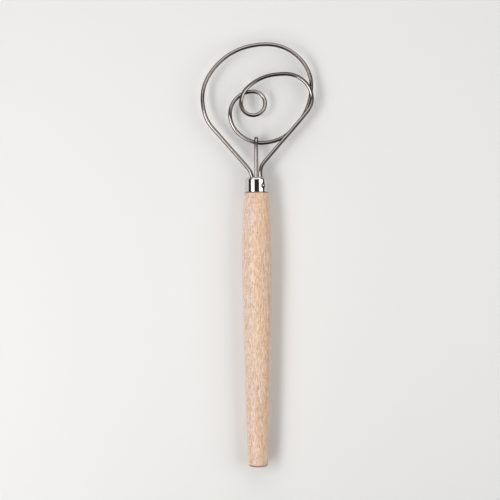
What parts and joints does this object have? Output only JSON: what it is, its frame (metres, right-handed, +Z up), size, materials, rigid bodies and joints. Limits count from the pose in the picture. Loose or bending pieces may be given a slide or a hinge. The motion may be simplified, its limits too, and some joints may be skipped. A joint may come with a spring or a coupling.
{
  "type": "dough whisk",
  "caption": "Dough whisk with a turned wooden handle, a pressed steel ferrule and a flat head of bent wire loops that spiral into a small coil.",
  "frame": {"origin": "on the surface that the whisk lies on, below the middle of its length and the handle's axis", "axes": "+Y along the handle's axis from the butt to the head; +Z up, square to the flat head, out of the side that the upper arc and the stem lie on; +X to the right, toward the side of the bend that leads into the right leg"},
  "size_m": [0.0916, 0.3428, 0.0245],
  "materials": {
    "beech": "turned and sanded, unvarnished",
    "polished_steel": "polished",
    "wire_steel": "bright drawn wire, polished",
    "epoxy_glue": "set amber glue"
  },
  "bodies": {
    "root": {"handle": "beech", "ferrule": "polished_steel", "loop_wire": "wire_steel", "centre_wire": "wire_steel", "glue_plug": "epoxy_glue"}
  },
  "joints": []
}
